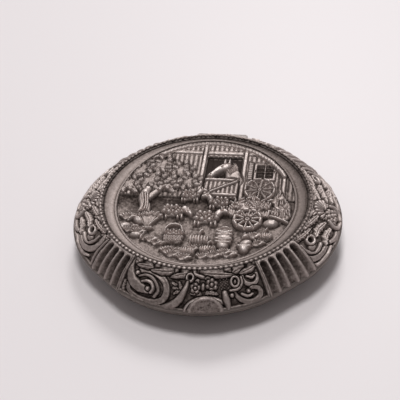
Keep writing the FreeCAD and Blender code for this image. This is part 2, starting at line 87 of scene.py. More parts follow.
def smooth_line(points):
    """A smooth line through the points (Catmull-Rom)."""
    p, per_span = np.array(points, float), 8
    if len(p) == 2:
        return np.linspace(p[0], p[1], per_span)
    p = np.vstack([2 * p[0] - p[1], p, 2 * p[-1] - p[-2]])
    t = np.linspace(0, 1, per_span, endpoint=False)[:, None]
    spans = []
    for a, b, c, d in zip(p[:-3], p[1:-2], p[2:-1], p[3:]):
        square = (2 * a - 5 * b + 4 * c - d) * t**2
        cube = (3 * b - a - 3 * c + d) * t**3
        spans.append(0.5 * (2 * b + (c - a) * t + square + cube))
    return np.vstack(spans + [p[-2:-1]])


def run(line):
    """How far along a line each of its points is."""
    return np.r_[0, np.cumsum(np.linalg.norm(np.diff(line, axis=0), axis=1))]


def blur(field, sigma):
    """A Gaussian blur, with sigma in cells."""
    pad = int(3 * sigma) + 1
    wide = np.pad(field, pad, mode="edge")
    fy = np.fft.fftfreq(wide.shape[0])[:, None]
    fx = np.fft.rfftfreq(wide.shape[1])[None]
    low_pass = np.exp(-2 * (pi * sigma) ** 2 * (fx**2 + fy**2))
    soft = np.fft.irfft2(np.fft.rfft2(wide) * low_pass, wide.shape)
    return soft[pad:-pad, pad:-pad]


def grain(shape, sigma, seed):
    """Smooth noise of unit spread, with features of about sigma cells."""
    field = blur(random(seed).standard_normal(shape), sigma)
    return field / field.std()


def dome(q, sharpness=0.5):
    """Cross-section of a raised form: 1 in the middle, 0 from the edge outward."""
    return np.clip(1 - q * q, 0, 1) ** sharpness


def step(value, low, high):
    t = np.clip((value - low) / (high - low), 0, 1)
    return t * t * (3 - 2 * t)


class Relief:
    """A height field on a flat grid, in millimetres, with heights from 0 to 1."""

    def __init__(self, width, length, cell=GRID, low=0.0, ground=0.0):
        self.cell = cell
        self.xs = np.linspace(-width / 2, width / 2, round(width / cell) + 1)
        self.ys = np.linspace(low, low + length, round(length / cell) + 1)
        self.h = np.full((len(self.ys), len(self.xs)), ground)
        self.chance = random(50)
        self.stand(0, 0)

    def vary(self, low, more):
        """A number from low to as much more."""
        return low + more * self.chance.random()

    def stand(self, x, y, side=1, scale=1.0):
        """The forms that follow are drawn from this point, mirrored if side is -1."""
        self.origin, self.side, self.scale = np.array((x, y), float), side, scale

    def at(self, points):
        return self.origin + np.asarray(points, float) * (self.side * self.scale, self.scale)

    def window(self, low, high):
        """The grid between two corners: where it is, and its points."""
        rows = slice(*np.searchsorted(self.ys, (low[1], high[1])))
        cols = slice(*np.searchsorted(self.xs, (low[0], high[0])))
        x, y = np.meshgrid(self.xs[cols], self.ys[rows])
        return (rows, cols), x, y

    def raise_form(self, where, value, q, gap, size=1.0):
        """Lay a form on the field (q is 1 on its outline), with a sunk line as wide as gap round it."""
        held = self.h[where]
        held = held * (0.3 + 0.7 * step((q - 1) * size, 0.0, gap))
        self.h[where] = np.where(q < 1, np.maximum(value, held), held)

    def along(self, points, width, gap):
        """The window round a smooth line, and its points' distances from it and places along it."""
        line = smooth_line(self.at(points))
        reach = np.max(width) + gap + self.cell
        where, x, y = self.window(line.min(0) - reach, line.max(0) + reach)
        return where, *nearest(line, x, y)

    def oval(self, centre, radius, long, turn, gap=0.2):
        """The window round an oval, and its points' distances from the middle, 1 on the outline."""
        c = self.at(centre)
        reach = radius * max(long, 1) + gap
        where, x, y = self.window(c - reach, c + reach)
        a = radians(turn * self.side)
        u = ((x - c[0]) * cos(a) + (y - c[1]) * sin(a)) / long
        v = -(x - c[0]) * sin(a) + (y - c[1]) * cos(a)
        return where, np.hypot(u, v) / radius

    def ridge(self, points, width, height, face=0.0, gap=0.14, notch=0.0, notches=0):
        """A rounded band along a smooth line. width is its half width; face hollows its top."""
        width = np.asarray(width) * self.scale
        where, d, t = self.along(points, width, gap)
        w = spread(width, t)
        q = d / w
        value = spread(height, t) * dome(q, 0.4) * (1 - face * dome(q / 0.72, 1.0))
        value = value * (1 - notch * (0.5 + 0.5 * np.cos(2 * pi * notches * t)))
        self.raise_form(where, value, q, gap, w)

    def ball(self, centre, radius, height, long=1.0, turn=0.0, gap=0.14):
        """A rounded boss; long stretches it along its own axis, turned by an angle in degrees."""
        radius = radius * self.scale
        where, q = self.oval(centre, radius, long, turn, gap)
        self.raise_form(where, height * dome(q), q, gap, radius)

    def leaf(self, points, width, height, lobes=4, cut=0.3, gap=0.15, veined=0.28):
        """A pointed leaf on a curved rib, with lobed edges, a sunk rib and side veins."""
        width = width * self.scale
        where, d, t = self.along(points, width, gap)
        body = np.clip(np.sin(pi * np.clip(t, 0.001, 0.999) ** 0.75), 0.02, 1) ** 0.75
        w = width * body * (1 - cut * np.abs(np.cos(pi * lobes * t)) ** 2)
        q = d / w
        veins = 0.5 + 0.5 * np.cos(2 * pi * (lobes * t * 1.6 - d / width * 0.9))
        rib = np.exp(-((d / (0.13 * width)) ** 2))
        value = height * dome(q, 0.4) * (1 - veined * veins * step(d / width, 0.1, 0.4) - 0.35 * rib)
        self.raise_form(where, value, q, gap, w)

    def full_leaf(self, points, width, height, lobes=2):
        """A leaf with a nearly smooth edge and shallow veins."""
        self.leaf(points, width, height, lobes, 0.15, 0.2, 0.12)

    def flower(self, centre, radius, petals, height, turn=0.0, heart=0.3):
        """An open flower with a round heart."""
        c, gap, wide = self.at(centre), 0.14, radius * self.scale
        where, x, y = self.window(c - wide - gap, c + wide + gap)
        r = np.hypot(x - c[0], y - c[1])
        petal = np.abs(np.cos(petals / 2 * (np.arctan2(y - c[1], x - c[0]) - radians(turn))))
        q = r / (wide * (0.68 + 0.32 * petal**0.6))
        value = height * dome(q, 0.35) * (0.5 + 0.5 * step(r / wide, 0.15, 0.7)) * (0.62 + 0.38 * petal**0.3)
        self.raise_form(where, value, q, gap, wide)
        self.ball(centre, radius * heart, height * 0.95, gap=0.08)

    def hollow(self, centre, radius, depth=1.0, long=1.0):
        """Sink a rounded hole into what is there."""
        where, q = self.oval(centre, radius * self.scale, long, 0)
        self.h[where] *= 1 - depth * (1 - step(q, 0.75, 1.1))

    def ring(self, centre, radius, width, height, long=1.0, turn=0.0):
        """A round or oval band."""
        a = np.radians(np.linspace(0, 360, 17))
        z = complex(*centre) + radius * (long * np.cos(a) + 1j * np.sin(a)) * np.exp(1j * radians(turn))
        self.ridge(np.stack([z.real, z.imag], 1), width, height, gap=0.1)

    def slab(self, corners, height, bevel=0.12, lines=0.0, pitch=0.5, turn=0.0, fade=1.0):
        """A flat shape with straight edges (corners anticlockwise), sunk lines and a fading height."""
        gap = 0.14
        p = self.at(corners)[:: self.side]
        where, x, y = self.window(p.min(0) - gap, p.max(0) + gap)
        inside = depth_inside(p, x, y)
        value = height * (0.55 + 0.45 * step(inside, 0, bevel))
        value = value * (1 + (fade - 1) * (y - p[:, 1].min()) / np.ptp(p[:, 1]))
        a = radians(turn)
        phase = (x * cos(a) + y * sin(a)) / pitch
        value = value * (1 - lines * np.exp(-((phase - np.round(phase)) / 0.16) ** 2))
        self.raise_form(where, value, 1 - inside, gap)

    def sink(self, corners, level, bevel=0.15):
        """Lower a straight-edged area (corners anticlockwise) to a level."""
        p = self.at(corners)[:: self.side]
        where, x, y = self.window(p.min(0), p.max(0))
        share = step(depth_inside(p, x, y), 0, bevel)
        self.h[where] += (np.minimum(self.h[where], level) - self.h[where]) * share

    def sampled(self, field, x, y):
        """The values of a field on this grid, at any places on it."""
        return between(field, (y - self.ys[0]) / self.cell, (x - self.xs[0]) / self.cell)


def spread(value, t):
    """A number, or numbers evenly spaced along a line, at t from 0 to 1."""
    values = np.atleast_1d(value)
    return np.interp(t, np.linspace(0, 1, len(values)), values)


def depth_inside(corners, x, y):
    """How far grid points lie inside a convex outline, negative outside it."""
    inside = np.full(x.shape, np.inf)
    for a, b in zip(corners, np.roll(corners, -1, axis=0)):
        edge = (b - a) / np.linalg.norm(b - a)
        inside = np.minimum(inside, (y - a[1]) * edge[0] - (x - a[0]) * edge[1])
    return inside


def nearest(line, x, y):
    """Distance of grid points to a line, and how far along it they are (0 to 1)."""
    best = np.full(x.shape, np.inf)
    share = np.zeros(x.shape)
    ends = run(line)
    for a, b, length, start in zip(line[:-1], line[1:], np.diff(ends), ends):
        ux, uy = (b - a) / length
        rx, ry = x - a[0], y - a[1]
        s = np.clip(rx * ux + ry * uy, 0, length)
        d = np.hypot(rx - s * ux, ry - s * uy)
        closer = d < best
        best = np.where(closer, d, best)
        share = np.where(closer, (start + s) / ends[-1], share)
    return best, share


# The frieze's ornament

def scroll_group(r):
    """A large C-scroll with a full belly, curls inside it and leaves over it."""
    r.ridge([(2.4, 2.1), (3.0, 1.0), (5.0, 0.45), (7.6, 0.5), (9.5, 1.3), (10.1, 2.9), (9.6, 4.4), (8.3, 5.4),
             (6.3, 5.95), (4.3, 5.6), (3.2, 4.6)], (0.4, 0.58, 0.68, 0.64, 0.5), (0.8, 0.97, 0.97, 0.9), 0.3)
    r.ball((3.5, 4.75), 0.6, 0.95)
    r.ridge([(4.0, 4.3), (5.2, 4.95), (6.6, 4.85), (7.8, 4.0), (8.5, 2.8), (8.0, 1.6)],
            (0.24, 0.4, 0.36), (0.75, 0.85, 0.8), 0.15)
    r.ridge([(1.1, 6.9), (1.5, 5.5), (2.1, 4.2), (3.1, 3.1), (4.8, 2.45), (6.6, 2.3)],
            (0.6, 0.7, 0.9, 1.15, 1.05, 0.6), (0.85, 0.9, 1.0, 0.97, 0.9), 0.16)
    r.ridge([(5.0, 3.6), (5.9, 4.0), (6.9, 3.85), (7.5, 3.0), (7.2, 2.2)], (0.3, 0.42, 0.36), (0.85, 0.95))
    r.ball((6.5, 2.7), 0.55, 1.0)
    r.full_leaf([(6.2, 6.75), (4.4, 6.5), (2.3, 6.1)], 0.78, 0.92)
    r.full_leaf([(10.8, 6.85), (8.4, 6.4), (5.6, 6.1)], 0.85, 0.97, 3)
    r.leaf([(1.6, 2.6), (1.5, 1.5), (2.1, 0.3)], 0.75, 0.85, 3)


def small_scrolls(r):
    """Two C-scrolls, one over the other, with ribs in their hollows, and a leaf over them."""
    r.ridge([(24.8, 6.1), (24.3, 5.1), (24.9, 3.9), (26.1, 3.5), (27.0, 4.1), (27.2, 5.1)],
            (0.36, 0.48, 0.4), 0.95, 0.15)
    r.ridge([(25.2, 5.2), (26.1, 4.7), (26.7, 4.9)], (0.26, 0.34, 0.26), 0.85)
    r.ridge([(22.2, 3.0), (22.8, 1.8), (23.9, 0.8), (25.4, 0.45), (26.7, 1.1), (26.8, 2.3), (25.7, 2.95),
             (24.8, 2.5)], (0.34, 0.52, 0.55, 0.46, 0.36), (0.85, 0.95, 0.95, 0.9), 0.2)
    r.ridge([(23.5, 2.3), (24.5, 1.65), (25.4, 1.8)], (0.28, 0.38, 0.28), 0.85)
    r.ball((24.8, 2.5), 0.48, 0.95)
    r.full_leaf([(27.6, 6.7), (26.2, 6.3), (23.9, 6.0)], 0.85, 0.95)
    r.ridge([(24.1, 5.3), (24.0, 4.2), (23.0, 3.35), (21.6, 3.3)], (0.28, 0.4, 0.28), 0.88)


def front_panel(r):
    """Scrolls, leaves and flowers round the plain cartouche, drawn from the left."""
    scroll_group(r)
    small_scrolls(r)
    r.full_leaf([(16.0, 6.85), (19.4, 6.5), (23.4, 5.9)], 0.95, 0.97, 4)
    r.leaf([(14.2, 6.85), (12.3, 6.35), (10.1, 5.7)], 0.78, 0.97, 2, 0.12, 0.2, 0.12)
    r.ridge([(15.0, 6.75), (16.6, 6.25), (18.3, 5.7)], (0.42, 0.4, 0.28), (0.97, 0.9))
    r.ring((14.2, 6.05), 0.66, 0.3, 0.97)
    r.hollow((14.2, 6.05), 0.42)
    for tip, width in (((10.5, 5.0), 0.62), ((10.8, 3.9), 0.55), ((12.0, 5.4), 0.5), ((11.2, 2.7), 0.5)):
        r.leaf([(12.8, 3.3), ((12.8 + tip[0]) / 2, (3.5 + tip[1]) / 2 + 0.15), tip], width, 0.8, 3)
    r.ridge([(9.9, 0.1), (11.3, 0.8), (12.3, 1.7), (13.0, 2.9), (13.5, 4.1), (13.8, 5.2)],
            (0.62, 0.8, 0.75, 0.55, 0.38), (0.85, 1.0, 0.97, 0.88), 0.1)
    r.leaf([(16.0, 5.9), (15.4, 5.1), (14.4, 4.6)], 0.6, 0.9, 2)
    r.leaf([(16.6, 3.0), (15.6, 3.3), (14.2, 3.2)], 0.6, 0.85, 2)
    r.flower((15.3, 4.2), 1.15, 5, 0.92, 10, 0.36)
    r.ball((16.75, 4.4), 0.42, 0.9, 1.9, 84)
    r.leaf([(17.0, 5.9), (17.9, 5.9), (19.2, 5.6)], 0.55, 0.85, 2)
    r.flower((18.4, 4.75), 1.35, 6, 0.97, 20, 0.36)
    r.leaf([(17.0, 3.2), (18.0, 3.3), (19.6, 2.9)], 0.62, 0.9, 3)
    r.ring((22.8, 4.75), 0.72, 0.3, 0.95, 1.25, 75)
    r.ball((22.8, 4.7), 0.34, 0.9, 1.6, 75)
    for x in (20.1, 20.75, 21.4):
        for y in (3.8, 4.4, 5.0, 5.5):
            r.ball((x, y), 0.24, 0.55, gap=0.05)
    arch = [(17.15 + 3.6 * sin(a), 2.75 * cos(a) - 0.25) for a in np.radians(range(-84, 85, 12))]
    r.ridge(arch, 0.34, 1.0)
    r.ridge([(20.9, 0.2), (20.75, 1.6), (20.6, 3.0)], (0.5, 0.72, 0.56), (0.9, 1.0, 0.97))
    r.ball((21.8, 2.4), 0.5, 0.92)


def side_panel(r):
    """Half of a side panel, from its end: a ring and a flower in scrolls, leaves and lobes."""
    r.ridge([(2.7, 6.5), (2.1, 5.0), (2.4, 3.4), (3.8, 2.0), (5.8, 1.4), (8.0, 1.6)],
            (0.45, 0.68, 0.72, 0.66, 0.45), (0.85, 0.95, 1.0, 0.92), 0.2)
    r.ridge([(3.7, 5.4), (3.7, 4.2), (4.5, 3.05), (6.0, 2.45), (7.5, 2.8)],
            (0.32, 0.46, 0.4), (0.85, 0.92), 0.1)
    r.ridge([(2.6, 1.2), (4.2, 0.55), (6.6, 0.4), (9.0, 0.7)], (0.34, 0.5, 0.4), 0.88)
    r.ball((5.6, 3.8), 0.95, 0.85, 1.2, 20)
    r.ring((6.3, 4.9), 0.82, 0.36, 1.0, 1.2, 0)
    r.hollow((6.3, 4.9), 0.55, 1.0, 1.25)
    r.leaf([(7.7, 4.4), (9.8, 4.7), (13.0, 3.7)], 1.0, 0.97, 5)
    r.leaf([(4.0, 6.8), (6.2, 6.4), (9.0, 6.1)], 0.8, 0.95, 4)
    r.leaf([(9.3, 6.8), (11.2, 6.3), (13.4, 5.6)], 0.9, 0.97, 4)
    r.leaf([(7.9, 1.8), (9.8, 2.7), (12.4, 2.5)], 1.0, 0.97, 4)
    r.ridge([(9.6, 1.3), (11.4, 0.6), (13.2, 0.9), (13.9, 2.1), (13.1, 2.9)], (0.4, 0.56, 0.42), 0.97, 0.2)
    r.flower((13.9, 4.5), 1.0, 6, 0.95)
    r.ridge([(0.9, 0.3), (1.2, 3.3), (1.1, 6.6)], (0.3, 0.4, 0.3), 0.85)


def panel_middle(r):
    """The middle of a side or back panel: a shell over a flower."""
    for angle in range(-70, 71, 20):
        a = radians(angle)
        tip = (2.3 * sin(a), 4.2 + 2.3 * cos(a))
        r.ridge([(0.4 * sin(a), 4.2 + 0.4 * cos(a)), tip], (0.22, 0.5), (0.8, 0.97), gap=0.1)
    r.flower((0, 2.6), 1.7, 8, 1.0, 0, 0.32)
    for side in (-1, 1):
        curl = [(side * x, y) for x, y in ((0.5, 0.4), (1.8, 0.8), (2.4, 2.0), (2.0, 3.3))]
        r.ridge(curl, (0.4, 0.55, 0.35), 0.92)


def border_leaves(r, width, length):
    """Overlapping leaves along a panel's upper edge, swept from both ends to the middle."""
    count = round(width / 2 / 2.9)
    for side in (-1, 1):
        r.stand(-side * width / 2, length, side)
        for k in range(count):
            x = (k + 0.2) * width / 2 / count
            rib = [(x - 0.5, -0.1), (x + 1.3, -0.35), (x + 3.3, -0.95 - 0.15 * (k % 2))]
            r.leaf(rib, 0.8, 0.9 + 0.06 * (k % 2), 2, 0.12, 0.2, 0.1)


def ornament(name, width, length, middle):
    """The height field of one panel, drawn round its middle, with a rib at its ends and its foot."""
    r = Relief(width, length, ground=GROUND)
    border_leaves(r, width, length)
    if name == "front":
        r.stand(middle - FRONT_DRAWN / 2, 0)
        front_panel(r)
    elif name == "back":
        for side in (-1, 1):
            r.stand(middle - side * FRONT_DRAWN / 2, 0, side)
            scroll_group(r)
            r.leaf([(9.9, 5.2), (11.6, 5.0), (13.4, 4.2)], 0.9, 0.9, 4)
    else:
        for side in (-1, 1):
            r.stand(middle - side * SIDE_DRAWN / 2, 0, side)
            side_panel(r)
    if name != "front":
        r.stand(middle, 0)
        panel_middle(r)
    r.stand(0, 0)
    for side in (-1, 1):
        r.ridge([(side * (width / 2 - 0.2), 0.0), (side * (width / 2 - 0.2), length)], 0.3, 0.92, gap=0.1)
    r.h = np.maximum(r.h, FOOT_RIB * (1 - step(r.ys, 0.3, 0.62))[:, None])
    return r


def flutes(name, width, length, middle):
    """Hollow flutes between narrow ribs, round and deep at the top and open at the foot."""
    r = Relief(width, length)
    pitch = width / round(width / FLUTE_PITCH)
    x, y = np.meshgrid(r.xs, r.ys)
    across = (x + width / 2) / pitch % 1 - 0.5
    q = np.hypot(across, np.maximum(y - (length - 0.8), 0) / pitch) / 0.4
    r.h = 1 - (0.4 + 0.4 * step(y, -0.5, 0.8 * length)) * dome(q, 0.6)
    return r


def worn(r, seed, matting=0.05, reach=0.7):
    """The field with a fine ripple and a matted ground, and how far each point of it stands proud."""
    deep = 1 - step(r.h, 0.1, 0.5)
    r.h += deep * matting * np.abs(grain(r.h.shape, 0.11 / r.cell, seed))
    r.h += 0.022 * grain(r.h.shape, 0.16 / r.cell, seed + 1) + 0.02 * grain(r.h.shape, 0.5 / r.cell, seed + 2)
    h = blur(np.clip(r.h, 0, 1), 0.6)
    return h, 0.5 * (h - blur(h, 0.22 / r.cell)) + 0.5 * (h - blur(h, reach / r.cell))


# Meshes

def add_object(name, data):
    made = bpy.data.objects.new(name, data)
    bpy.context.scene.collection.objects.link(made)
    return made


def mesh_piece(name, points, faces, material, height, edge, body="lid"):
    """A smooth-shaded piece from points in millimetres, with its relief stored for the patina."""
    mesh = bpy.data.meshes.new(name)
    mesh.from_pydata((np.asarray(points) * MM).tolist(), [], faces)
    mesh.polygons.foreach_set("use_smooth", np.ones(len(mesh.polygons), bool))
    for label, values in (("relief", height), ("edge", edge)):
        layer = mesh.attributes.new(label, "FLOAT", "POINT")
        layer.data.foreach_set("value", np.asarray(values, np.float32))
    mesh.materials.append(material)
    piece = add_object(name, mesh)
    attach(piece, body)
    return piece


def grid(rows, cols):
    return np.arange(rows * cols).reshape(rows, cols)


def quads(index):
    """Faces between the neighbours in a grid of point numbers."""
    corners = index[:-1, :-1], index[:-1, 1:], index[1:, 1:], index[1:, :-1]
    return np.stack(corners, -1).reshape(-1, 4).tolist()


def patch_piece(name, top, under, material, height, edge):
    """A grid of points, closed by a skirt and by a flat foot through the points under its rim."""
    index = grid(*height.shape)
    rim = np.r_[index[0, :-1], index[:-1, -1], index[-1, :0:-1], index[:0:-1, 0]]
    foot = height.size + np.arange(len(rim))
    skirt = np.stack([np.roll(rim, -1), rim, foot, np.roll(foot, -1)], -1).tolist()
    points = np.vstack([top.reshape(-1, 3), under.reshape(-1, 3)[rim]])
    height, edge = (np.r_[values.ravel(), values.ravel()[rim]] for values in (height, edge))
    return mesh_piece(name, points, quads(index) + skirt + [foot[::-1].tolist()], material, height, edge)


def between(field, row, column):
    """The field's values at places between its rows and columns."""
    row, column = (np.clip(at, 0, size - 1.001) for at, size in zip((row, column), field.shape))
    i, j = row.astype(int), column.astype(int)
    down, along = row - i, column - j
    near = field[i, j] * (1 - along) + field[i, j + 1] * along
    far = field[i + 1, j] * (1 - along) + field[i + 1, j + 1] * along
    return near * (1 - down) + far * down


def box_mm(node):
    low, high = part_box(node)
    return np.array(low) / MM, np.array(high) / MM


class Flare:
    """The outer face of the CAD frieze, read by casting rays at it from all round."""

    def __init__(self):
        low, high = box_mm("frieze")
        tree = BVHTree.FromObject(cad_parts["frieze"], bpy.context.evaluated_depsgraph_get())
        self.angles = np.radians(np.arange(-180, 180.5, 0.5))
        self.levels = np.linspace(low[2] + 0.003, high[2] - 0.003, 32)
        outside = 2 * high[0] * MM
        self.radii = np.zeros((len(self.levels), len(self.angles)))
        for i, z in enumerate(self.levels):
            for j, a in enumerate(self.angles):
                out = Vector((sin(a), -cos(a), 0))
                hit = tree.ray_cast(out * outside + Vector((0, 0, z * MM)), -out)[0]
                self.radii[i, j] = hit.to_2d().length / MM
        self.levels[0], self.levels[-1] = low[2], high[2]

    def points(self, angles, levels, inset=0.0):
        """Points on the face, a row for each level. Angles run from the front toward +X."""
        turned = (angles + pi) % (2 * pi) - pi
        rows = np.array([np.interp(turned, self.angles, row) for row in self.radii])
        radii = np.array([np.interp(levels, self.levels, column) for column in rows.T]).T - inset
        z = np.broadcast_to(np.asarray(levels)[:, None], radii.shape)
        return np.stack([radii * np.sin(angles), -radii * np.cos(angles), z], 2)

    def spots(self, x, level):
        """Points on the front of the face, from their distances to the right and their levels."""
        row = np.interp(level, self.levels, np.arange(len(self.levels)))
        angle = x / self.radii[0, len(self.angles) // 2]
        for _ in range(5):
            column = np.interp(angle, self.angles, np.arange(len(self.angles)))
            radius = between(self.radii, row, column)
            angle = np.arcsin(x / radius)
        return np.stack([x, -radius * np.cos(angle), level], 2)


def panel_piece(flare, name, start, end, middle, draw, seed, material):
    """One stretch of the frieze between two angles, carved into the CAD face and closed."""
    start, end, middle = (radians(a) for a in (start, end, middle))
    lengths = run(flare.points(np.array([(start + end) / 2]), flare.levels)[:, 0])
    line = flare.points(np.linspace(start, end, 60), [flare.levels[len(flare.levels) * 2 // 5]])[0]
    width = run(line)[-1]
    relief = draw(name, width, lengths[-1], width * ((middle - start) / (end - start) - 0.5))
    h, edge = worn(relief, seed)
    angles = start + (relief.xs / width + 0.5) * (end - start)
    levels = np.interp(relief.ys, lengths, flare.levels)
    face = flare.points(angles, levels)
    carved = face - outward(face) * (CARVING * (1 - h))[..., None]
    carved[[0, -1], :, 2] = levels[[0, -1], None]
    back = flare.points(angles, [levels[-1], levels[len(levels) // 2], levels[0]], WALL)
    points = np.vstack([carved, back])
    index = grid(*points.shape[:2])
    faces = quads(np.vstack([index, index[:1]])) + [index[:, 0].tolist(), index[::-1, -1].tolist()]
    # Painted shade: the front of the frieze is drawn darker, for the shade it stands in.
    tone = h * (1 - FRONT_PAINTED_SHADE * step(np.cos(angles), 0.3, 0.85))
    pad = np.zeros(back.shape[:2])
    piece = mesh_piece("frieze_" + name, points.reshape(-1, 3), faces, material,
                       np.vstack([tone, pad]).ravel(), np.vstack([edge, pad]).ravel())
    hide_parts("frieze")


def outward(face):
    """Unit normals of a grid of points on the frieze."""
    normal = np.cross(np.gradient(face, axis=1), np.gradient(face, axis=0))
    return normal / np.linalg.norm(normal, axis=2, keepdims=True)


def make_cartouche(flare, material):
    """The plain half-round boss: a raised edge round a slightly hollow face, scuffed and dented."""
    low, high = box_mm("plain_cartouche")
    middle, half, tall = (low[0] + high[0]) / 2, (high[0] - low[0]) / 2, high[2] - low[2]
    u, v = np.meshgrid(np.linspace(-1, 1, 97), np.linspace(0, 1, 49))
    x, z = u * np.sqrt(1 - v * v / 2), v * np.sqrt(1 - u * u / 2)
    from_edge = (1 - np.hypot(x, z)) * tall
    edge_rib = np.exp(-(((from_edge - BOSS_EDGE) / (0.6 * BOSS_EDGE)) ** 2))
    rise = 0.35 + 0.65 * edge_rib + 0.3 * step(from_edge, 0, tall)
    rise += 0.05 * grain(x.shape, 1.2, 80) + 0.06 * grain(x.shape, 4, 81)
    face = flare.spots(middle + half * x, low[2] + tall * z)
    normal = outward(face)
    points = face + normal * (BOSS_RISE * np.clip(rise, 0, 1))[..., None]
    edge = 0.25 * edge_rib - 0.1 * step(-from_edge, -0.9, -0.3) + 0.06 * grain(x.shape, 1.5, 82)
    # The cartouche's tone is set low, partly its own tarnish and partly painted shade like the front of the
    # frieze; its raised edge is rubbed lighter.
    piece = patch_piece("cartouche", points, face - normal * BOSS_RISE, material, 0.42 + 0.2 * edge_rib, edge)
    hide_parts("plain_cartouche")


def make_frieze(material):
    flare = Flare()
    make_cartouche(flare, material)
    for i, (name, start, end) in enumerate(PANELS):
        panel_piece(flare, name, start, end, 90 * i, ornament, 10 * i, material)
    for i, name in enumerate(("front_right", "back_right", "back_left", "front_left")):
        start, end = PANELS[i][2], PANELS[(i + 1) % 4][1] % 360
        panel_piece(flare, "flutes_" + name, start, end, start, flutes, 100 + 10 * i, material)


def unit_ball(rings=11, sides=18):
    """Points and faces of a ball of radius 1, from its top down."""
    polar = np.linspace(0, pi, rings)[1:-1]
    around = np.arange(sides) * 2 * pi / sides
    points = [(sin(p) * cos(a), sin(p) * sin(a), cos(p)) for p in polar for a in around]
    points = [(0, 0, 1), *points, (0, 0, -1)]
    last = len(points) - 1
    faces = []
    for k in range(sides):
        n = (k + 1) % sides
        faces += [(0, 1 + k, 1 + n), (last, last - sides + n, last - sides + k)]
        faces += [(a + k, a + sides + k, a + sides + n, a + n) for a in range(1, last - sides, sides)]
    return np.array(points), faces


def make_beads(material):
    """Round beads side by side on the rim, joined by a wire through them."""
    low, high = box_mm("bead_wire")
    middle = low[2] + BEAD_HEIGHT / 2
    half = high[:2] - BEAD_WIDTH / 2
    t = np.linspace(0, 2 * pi, 2001)
    path = np.stack([np.sin(t), -np.cos(t)], 1) * half
    length = run(path)
    count = round(length[-1] / BEAD_PITCH)
    places = np.interp((np.arange(count) + 0.5) / count * length[-1], length, t)
    centre = np.stack([np.sin(places), -np.cos(places)], 1) * half
    along = np.stack([np.cos(places), np.sin(places)], 1) * half
    along /= np.linalg.norm(along, axis=1, keepdims=True)
    out = along[:, ::-1] * (1, -1)
    half_pitch = length[-1] / count / 2
    chance = random(7).random((count, 4))
    size = np.array([half_pitch * 0.86, BEAD_WIDTH / 2, BEAD_HEIGHT / 2]) * (1 - 0.1 * chance[:, :3])
    ball, ball_faces = unit_ball()
    x, y, z = np.moveaxis(ball * size[:, None], 2, 0)[..., None]
    flat_top = size[:, 2] * (0.86 + 0.1 * chance[:, 3])
    z = middle + np.minimum(z, flat_top[:, None, None])
    plan = centre[:, None] + x * along[:, None] + y * out[:, None]
    points = np.concatenate([plan, z], 2).reshape(-1, 3)
    starts = range(0, len(points), len(ball))
    faces = [tuple(first + corner for corner in face) for first in starts for face in ball_faces]
    height = step(points[:, 2], low[2] + 0.15 * BEAD_HEIGHT, low[2] + 0.8 * BEAD_HEIGHT)
    # Painted shade: the beads are drawn darker toward the back right.
    shade = painted_rim_shade(np.arctan2(points[:, 0], -points[:, 1]), RIM_PAINTED_SHADE)
    piece = mesh_piece("beads", points, faces, material, (0.24 + 0.5 * height) * shade,
                       (0.3 * height - 0.02) * shade - 0.12)
    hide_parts("bead_wire")
    around = np.arange(10) * 2 * pi / 10
    sizes = half + BEAD_CORE * np.cos(around)[:, None]
    swept_ring("bead_core", sizes, middle + BEAD_CORE * np.sin(around), 0 * around, material, 0.3, -0.08,
               depth=0)


def painted_rim_shade(turn, depth):
    """Painted shade on the rim: the share of the silver's brightness left, least at the back right."""
    return 1 - depth * (0.5 - 0.5 * np.cos(turn + radians(35)))


def toward_back(y, half_depth, share=1.0):
    """The picture's well runs back and up: where y ends up, and how much the ground rises there."""
    back = np.clip(y / half_depth, 0, 1)
    return y + share * REAR_REACH * back, share * REAR_RISE * step(back, 0.1, 1)


def swept_ring(name, sizes, levels, follow, material, height, edge, depth=RIM_PAINTED_SHADE):
    """A closed ring through ellipses, each with its level and how far it follows the well back."""
    turn = np.linspace(0, 2 * pi, RING_POINTS + 1)[:-1]
    half_x, half_y, level, follow = (values[:, None] for values in (*sizes.T, levels, follow))
    y, rise = toward_back(-half_y * np.cos(turn), half_y, follow)
    points = np.stack([half_x * np.sin(turn), y, level + rise], 2)
    height, edge = (np.broadcast_to(values, len(sizes)) for values in (height, edge))
    index = np.pad(grid(len(sizes), RING_POINTS), (0, 1), "wrap")
    # Painted shade: the ring is drawn darker toward the back right, as much as depth says.
    return mesh_piece(name, points.reshape(-1, 3), quads(index), material,
                      np.outer(height, painted_rim_shade(turn, depth)).ravel(), np.repeat(edge, RING_POINTS))


def make_shoulder(material):
    """The hollow slope between the beads and the plaque, with a double wire at its foot."""
    low, high = box_mm("shoulder")
    _, well = box_mm("plaque")
    wire_low, wire_high = box_mm("fillet_wire")
    ledge = wire_low[2]
    t = np.linspace(0, 1, 15)
    share = np.r_[0, 0.04 + 0.72 * t, 1, 1, 0]
    slope = ledge + (high[2] - ledge) * (1 - np.sin(t * pi / 2) ** 1.3)
    level = np.r_[high[2], slope, ledge, low[2], low[2]]
    sizes = high[:2] + share[:, None] * (well[:2] - high[:2])
    height = np.r_[0.5, 0.4 + 0.42 * np.sin(t * pi) ** 0.7, 0.3, 0.3, 0.3]
    edge = np.r_[0.0, -0.12 + 0.17 * np.sin(t * pi), -0.1, 0, 0]
    follow = np.where(level > low[2], share, 0)
    # The slope here and the wires below are drawn darker toward the back right by painted shade.
    ring = swept_ring("shoulder_slope", sizes, level, follow, material, height, edge)
    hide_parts("shoulder")
    wide = WIRE_WIDTH
    outline = [(-wide * (k + 0.5 - 0.5 * cos(a)), 0.5 * wide * sin(a) * 1.3)
               for k in (0, 1) for a in np.linspace(0, pi, 6)]
    outline = np.array(outline + [(-2 * wide, -0.03), (0, -0.03)])
    wires = swept_ring("fillet_wires", wire_high[:2] + outline[:, :1], ledge + 0.03 + outline[:, 1],
                       np.ones(len(outline)), material, np.r_[np.full(len(outline) - 2, 0.62), 0.2, 0.2],
                       np.r_[0.5 * outline[:-2, 1] / wide - 0.1, -0.2, -0.2])
    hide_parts("fillet_wire")


# The plaque's picture: a farmyard

